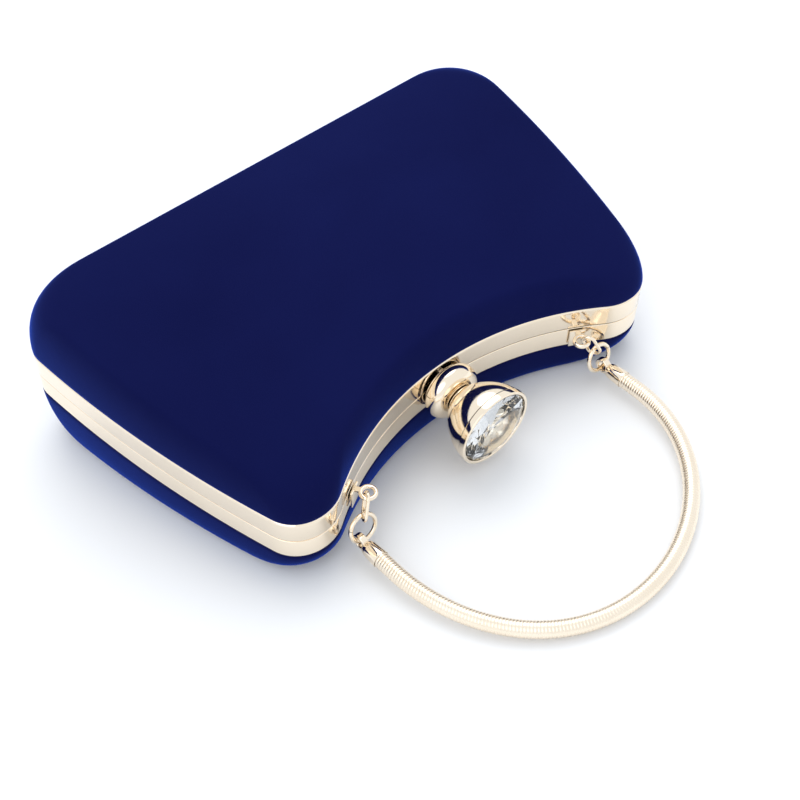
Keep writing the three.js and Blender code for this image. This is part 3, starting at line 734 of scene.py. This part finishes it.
def clasp_bell():
    """Bell that swells from the neck to the bezel; open towards the stone."""
    start = NECK_Y - 1.4
    length = start - BEZEL_Y - 0.2
    gain = BEZEL_RADIUS - 0.4 - BELL_NECK_RADIUS
    swell = lambda t: BELL_NECK_RADIUS + gain * math.sin(math.pi / 2 * t) ** 0.9
    shares = np.linspace(0, 1, 30)
    outside = [(swell(t), start - length * t) for t in shares]
    inside = [(swell(t) - 1.1, start - length * t) for t in shares[:3:-1]]
    shoulder = rounded([(0, start), (BELL_NECK_RADIUS, start), outside[2]], 0.5, 5)
    return turned([*shoulder, *outside[3:], *inside, (0, start - length * 0.14)], on_clasp_axis, 128)


def clasp_bezel():
    """Bezel ring: a broad inner lip that folds over the stone's edge."""
    front = BEZEL_Y - 2.6
    seat = BEZEL_RADIUS - 2.4
    profile = [
        (seat, BEZEL_Y), (BEZEL_RADIUS, BEZEL_Y), (BEZEL_RADIUS, front + 0.2), (BEZEL_RADIUS - 0.5, front),
        (CRYSTAL_RADIUS + 0.05, front + 0.15), (CRYSTAL_RADIUS + 0.15, BEZEL_Y - 0.9), (seat, BEZEL_Y - 0.9),
    ]
    return turned(rounded(profile, 0.35, 4, closed=True), on_clasp_axis, 128)


def cut_stone():
    """Round brilliant of eight sides: table, stars, kites and girdle facets in front; a pointed back."""
    girdle = BEZEL_Y - 1.2
    radius = CRYSTAL_RADIUS - 0.2
    table, star, edge_front = girdle - 3.2, girdle - 2.15, girdle - 0.75
    edge_back, pavilion, tip = girdle - 0.25, girdle + 3.05, girdle + 5.4
    made = bmesh.new()

    def ring(count, reach, y, shift=0.0):
        for i in range(count):
            angle = 2 * math.pi * (i + shift) / count
            made.verts.new((reach * math.cos(angle), y, CLASP_Z + reach * math.sin(angle)))

    ring(8, radius * 0.60, table)
    ring(8, radius * 0.84, star, 0.5)
    ring(16, radius, edge_front)
    ring(16, radius, edge_back)
    ring(8, radius * 0.48, pavilion, 0.5)
    made.verts.new((0, tip, CLASP_Z))
    bmesh.ops.convex_hull(made, input=made.verts[:])
    bmesh.ops.dissolve_limit(made, angle_limit=math.radians(1), verts=made.verts[:], edges=made.edges[:])
    made.verts.index_update()
    points = [np.array(v.co) for v in made.verts]
    faces = [tuple(v.index for v in face.verts) for face in made.faces]
    made.free()
    mesh = bpy.data.meshes.new("stone")
    mesh.from_pydata([tuple(p) for p in bag_to_row(points)], [], faces)
    return mesh


def spring_shape():
    """Return spring round the stem, between the tongue and the guide."""
    start = TONGUE_Y + TONGUE_THICKNESS + PRESS_TRAVEL + 0.7
    end = GUIDE_Y - 0.6
    steps = 120
    share = np.linspace(0, 1, steps)
    angle = 2 * math.pi * SPRING_TURNS * share
    outwards = np.column_stack([np.cos(angle), np.zeros(steps), np.sin(angle)])
    middle = np.column_stack([np.zeros(steps), start + (end - start) * share, np.full(steps, STEM_Z)])
    path = outwards * SPRING_RADIUS + middle
    ahead = np.gradient(path, axis=0)
    ahead /= np.linalg.norm(ahead, axis=1)[:, None]
    return swept(path, outwards, np.cross(ahead, outwards), SPRING_WIRE, 14)


def build_clasp():
    piece("clasp_plate", clasp_base(), "lid", "gilt", GILT, "clasp_base")
    for name, shape, node in (
        ("clasp_knob_bead", clasp_bead(), "clasp_bead"),
        ("clasp_knob_neck", clasp_neck(), "clasp_neck"),
        ("clasp_knob_bell", clasp_bell(), "clasp_bell"),
        ("clasp_knob_bezel", clasp_bezel(), "clasp_bezel"),
    ):
        piece(name, mesh_of(name, shape, 30), "clasp", "gilt", GILT, node)
    piece("clasp_stone", cut_stone(), "clasp", "crystal", STONE, "clasp_crystal")
    piece("clasp_coil", mesh_of("clasp_coil", spring_shape(), 60), "lid", "steel", STEEL, "clasp_spring")


# ---- handle and its hangers -------------------------------------------------------------------------------

PIVOT = row_to_bag(JOINTS["handle_swing"]["pos_m"])
LINK_TOP = row_to_bag(JOINTS["link_swing"]["pos_m"])
LINK_BOTTOM = row_to_bag(JOINTS["ring_swing"]["pos_m"])
HANG = unit(PIVOT - LINK_TOP)
RING_ACROSS = unit(np.array([1, 0, 0]) - HANG * HANG[0])
SLOPE = (HANDLE_TIP[2] - PIVOT[2]) / (PIVOT[1] - HANDLE_TIP[1])
HANDLE_START = unit([0, -1, SLOPE])
HANDLE_NORMAL = unit([0, SLOPE, 1])


def wire_loop(half_width, straight, wire, gap=0.0, steps=40, sides=20):
    """Closed loop of wire in a plane, or a ring cut open by a small gap."""
    turns = np.linspace(0, 2 * math.pi, sides, endpoint=False)
    rings = []
    for end in (1, -1):
        for i in range(steps + 1):
            if straight == 0 and i == steps and not (gap and end < 0):
                continue
            angle = math.pi * i / steps + (0 if end > 0 else math.pi)
            if gap:
                angle = angle * (1 - gap / (2 * math.pi)) + gap / 2
            reach = half_width + wire * np.cos(turns)
            rings.append(np.column_stack([reach * math.cos(angle),
                                          reach * math.sin(angle) + end * straight / 2,
                                          wire * np.sin(turns)]))
    if not gap:
        return loft(rings)
    return loft(rings, [rings[0].mean(0), rings[-1].mean(0)])


def link_shape():
    hang_flat = unit([*(PIVOT - EYE_CENTRE)[:2], 0])
    normal = unit(np.array([-hang_flat[1], hang_flat[0], 0]) + RING_ACROSS)
    across = unit(np.cross(HANG, normal))
    span = np.linalg.norm(LINK_BOTTOM - LINK_TOP)
    place = placer(across, -HANG, np.cross(across, -HANG), (LINK_TOP + LINK_BOTTOM) / 2)
    return moved(wire_loop(LINK_HALF_WIDTH, span, LINK_WIRE), place)


def ring_shape():
    place = placer(RING_ACROSS, -HANG, np.cross(RING_ACROSS, -HANG), LINK_BOTTOM + HANG * RING_RADIUS)
    return moved(wire_loop(RING_RADIUS, 0, RING_WIRE, gap=0.03), place)


ARCH_CENTRE_Y = ARCH_TOP_Y - ARCH_RADIUS
OUTWARDS = -np.array([LUG_X, math.sqrt(ARCH_RADIUS ** 2 - LUG_X ** 2), 0]) / ARCH_RADIUS
LUG_ROOT = np.array([LUG_X, ARCH_CENTRE_Y - OUTWARDS[1] * ARCH_RADIUS, 0])
EYE_CENTRE = LUG_ROOT + OUTWARDS * EYE_REACH + [0, 0, EYE_Z]


def lug_mesh():
    """Plate on the back half's band, a short neck, and a round eye."""
    along = np.array([-OUTWARDS[1], OUTWARDS[0], 0])
    place = placer(OUTWARDS, along, [0, 0, 1], LUG_ROOT)
    plate = moved(block((0.4, -2.8, -7.7), (1.3, 2.8, -0.5), 0.25, 4), place)
    neck_end = EYE_REACH - EYE_RADIUS + 0.2
    neck = moved(block((0.85, -0.9, EYE_Z - 0.65), (neck_end, 0.9, EYE_Z + 0.65), 0.3, 3), place)
    eye_place = placer([1, 0, 0], [0, 1, 0], [0, 0, 1], EYE_CENTRE)
    eye = moved(wire_loop(EYE_RADIUS, 0, EYE_WIRE), eye_place)
    return combined("lug", [plate, neck, eye], (), 30)


def cap_mesh():
    """End cap: a smooth round-nosed sleeve, and an eye that the ring goes through."""
    place = placer([1, 0, 0], unit(np.cross(HANDLE_START, [1, 0, 0])), HANDLE_START, PIVOT)
    sleeve = [(0, 2.1), (1.7, 2.1), (2.4, 2.9), (2.75, 4.2), (CAP_RADIUS, CAP_END - 1), (CAP_RADIUS, CAP_END),
              (TUBE_RADIUS + 0.06, CAP_END), (TUBE_RADIUS + 0.06, CAP_END - 1.0), (0, CAP_END - 1.0)]
    body = turned(rounded(sleeve, 0.6, 4), place, 64)
    eye = rounded([(1.8, -1.2), (2.9, -1.2), (2.9, 1.2), (1.8, 1.2)], 0.4, 4, closed=True)
    eye_place = placer([0, 1, 0], [0, 0, 1], [1, 0, 0], PIVOT)
    bore = turned([(0, CAP_END - 4.6), (CORE_RADIUS + GAP, CAP_END - 4.6), (CORE_RADIUS + GAP, CAP_END),
                   (0, CAP_END)], place, 24)
    return combined("cap", [body, turned(eye, eye_place, 64)], [bore], 30)


def handle_path(trim, spacing):
    """Middle line of the handle: straight ends, and between them half an ellipse leaning a little to -X."""
    bend_y = PIVOT[1] - HANDLE_STRAIGHT
    lean, reach = HANDLE_TIP[0], HANDLE_TIP[1] - bend_y
    straight = np.linspace(PIVOT[1] - trim, bend_y, 60)[:-1]
    angle = np.linspace(0, math.pi, 900)
    xs = [np.full(59, PIVOT[0]), PIVOT[0] * np.cos(angle) + lean * np.sin(angle) ** 2, np.full(59, -PIVOT[0])]
    ys = [straight, bend_y + reach * np.sin(angle), straight[::-1]]
    x, y = np.concatenate(xs), np.concatenate(ys)
    line = np.column_stack([x, y, PIVOT[2] + SLOPE * (PIVOT[1] - y)])
    run = np.concatenate([[0], np.cumsum(np.linalg.norm(np.diff(line, axis=0), axis=1))])
    steps = int(round(run[-1] / spacing))
    at = np.linspace(0, run[-1], steps + 1)
    points = np.column_stack([np.interp(at, run, line[:, axis]) for axis in range(3)])
    ahead = np.gradient(points, axis=0)
    ahead /= np.linalg.norm(ahead, axis=1)[:, None]
    up = np.broadcast_to(HANDLE_NORMAL, points.shape)
    return points, np.cross(up, ahead), up, at


def coil_tube():
    """Close-wound strip: rounded turns with a narrow groove between them."""
    points, side, up, at = handle_path(CAP_END - 0.9, COIL_PITCH / 9)

    def reach(k, angles):
        phase = math.pi * at[k] / COIL_PITCH - angles / 2
        return TUBE_RADIUS - COIL_GROOVE * np.abs(np.cos(phase)) ** 6

    return swept(points, side, up, reach, 30)


def core_rod():
    points, side, up, _ = handle_path(CAP_END - 3.5, 1.5)
    return swept(points, side, up, CORE_RADIUS, 16)


def build_handle():
    pair("hanger_lug", lug_mesh(), ("back", "back"), "gilt", GILT, "lug")
    pair("hanger_link", mesh_of("hanger_link", link_shape(), 60), ("links", "links"), "gilt", GILT, "link")
    pair("hanger_ring", mesh_of("hanger_ring", ring_shape(), 40), ("rings", "rings"), "gilt", GILT, "ring")
    pair("handle_cap", cap_mesh(), ("handle", "handle"), "gilt", GILT, "end_cap")
    piece("handle_coil", mesh_of("handle_coil", coil_tube(), 80), "handle", "gilt", COIL, "handle_tube")
    piece("handle_rod", mesh_of("handle_rod", core_rod(), 60), "handle", "steel", STEEL, "handle_core")


# ---- light, table and camera ------------------------------------------------------------------------------

CAMERA_AZIMUTH = -38.72
CAMERA_ELEVATION = 46.49
CAMERA_ROLL = 4.05
CAMERA_DISTANCE = 0.4578
CAMERA_TARGET = Vector((-0.0144, 0.0026, 0.020))
CAMERA_LENS = 62.0


def view_back(azimuth, elevation):
    """Unit vector from the target towards a camera or light at that azimuth and elevation."""
    a, e = math.radians(azimuth), math.radians(elevation)
    return Vector((math.sin(a) * math.cos(e), -math.cos(a) * math.cos(e), math.sin(e)))


def build_camera():
    back = view_back(CAMERA_AZIMUTH, CAMERA_ELEVATION)
    level = (Vector((0, 0, 1)) - back * back.z).normalized()
    up = Matrix.Rotation(math.radians(-CAMERA_ROLL), 3, back) @ level
    right = up.cross(back)
    data = bpy.data.cameras.new("camera")
    data.lens = CAMERA_LENS
    data.sensor_width = 36
    data.clip_start = 0.01
    camera = object_of("camera", data)
    turn = Matrix((right, up, back)).transposed().to_4x4()
    camera.matrix_world = Matrix.Translation(CAMERA_TARGET + back * CAMERA_DISTANCE) @ turn
    bpy.context.scene.camera = camera


def area_light(name, azimuth, elevation, distance, size, power, colour):
    data = bpy.data.lights.new(name, "AREA")
    data.shape = "DISK"
    data.size = size
    data.energy = power
    data.color = colour
    light = object_of(name, data)
    back = view_back(azimuth, elevation)
    light.location = back * distance
    light.rotation_euler = back.to_track_quat("Z", "Y").to_euler()


def build_stage():
    half = 3.0
    corners = [(-half, -half, 0), (half, -half, 0), (half, half, 0), (-half, half, 0)]
    mesh = bpy.data.meshes.new("table")
    mesh.from_pydata(corners, [], [(0, 1, 2, 3)])
    mesh.materials.append(floor_finish())
    floor = object_of("table", mesh)

    world = bpy.data.worlds.new("studio")
    world.use_nodes = True
    background = world.node_tree.nodes["Background"]
    background.inputs["Color"].default_value = (0.93, 0.96, 1.0, 1)
    background.inputs["Strength"].default_value = 1.04
    bpy.context.scene.world = world
    area_light("key", 150, 62, 1.6, 1.4, 8, (1.0, 0.985, 0.96))
    area_light("fill", -70, 40, 1.8, 1.6, 4, (0.95, 0.97, 1.0))
    bpy.context.scene.view_settings.view_transform = "Standard"


def finish_cad_nodes():
    for node in ("clasp_plunger", "clasp_guide", "catch_keeper"):
        mesh = frame["nodes"][node].data
        mesh.materials.clear()
        mesh.materials.append(STEEL)


build_camera()
build_stage()
build_trays()
build_frame()
build_hinges()
build_clasp()
build_handle()
finish_cad_nodes()
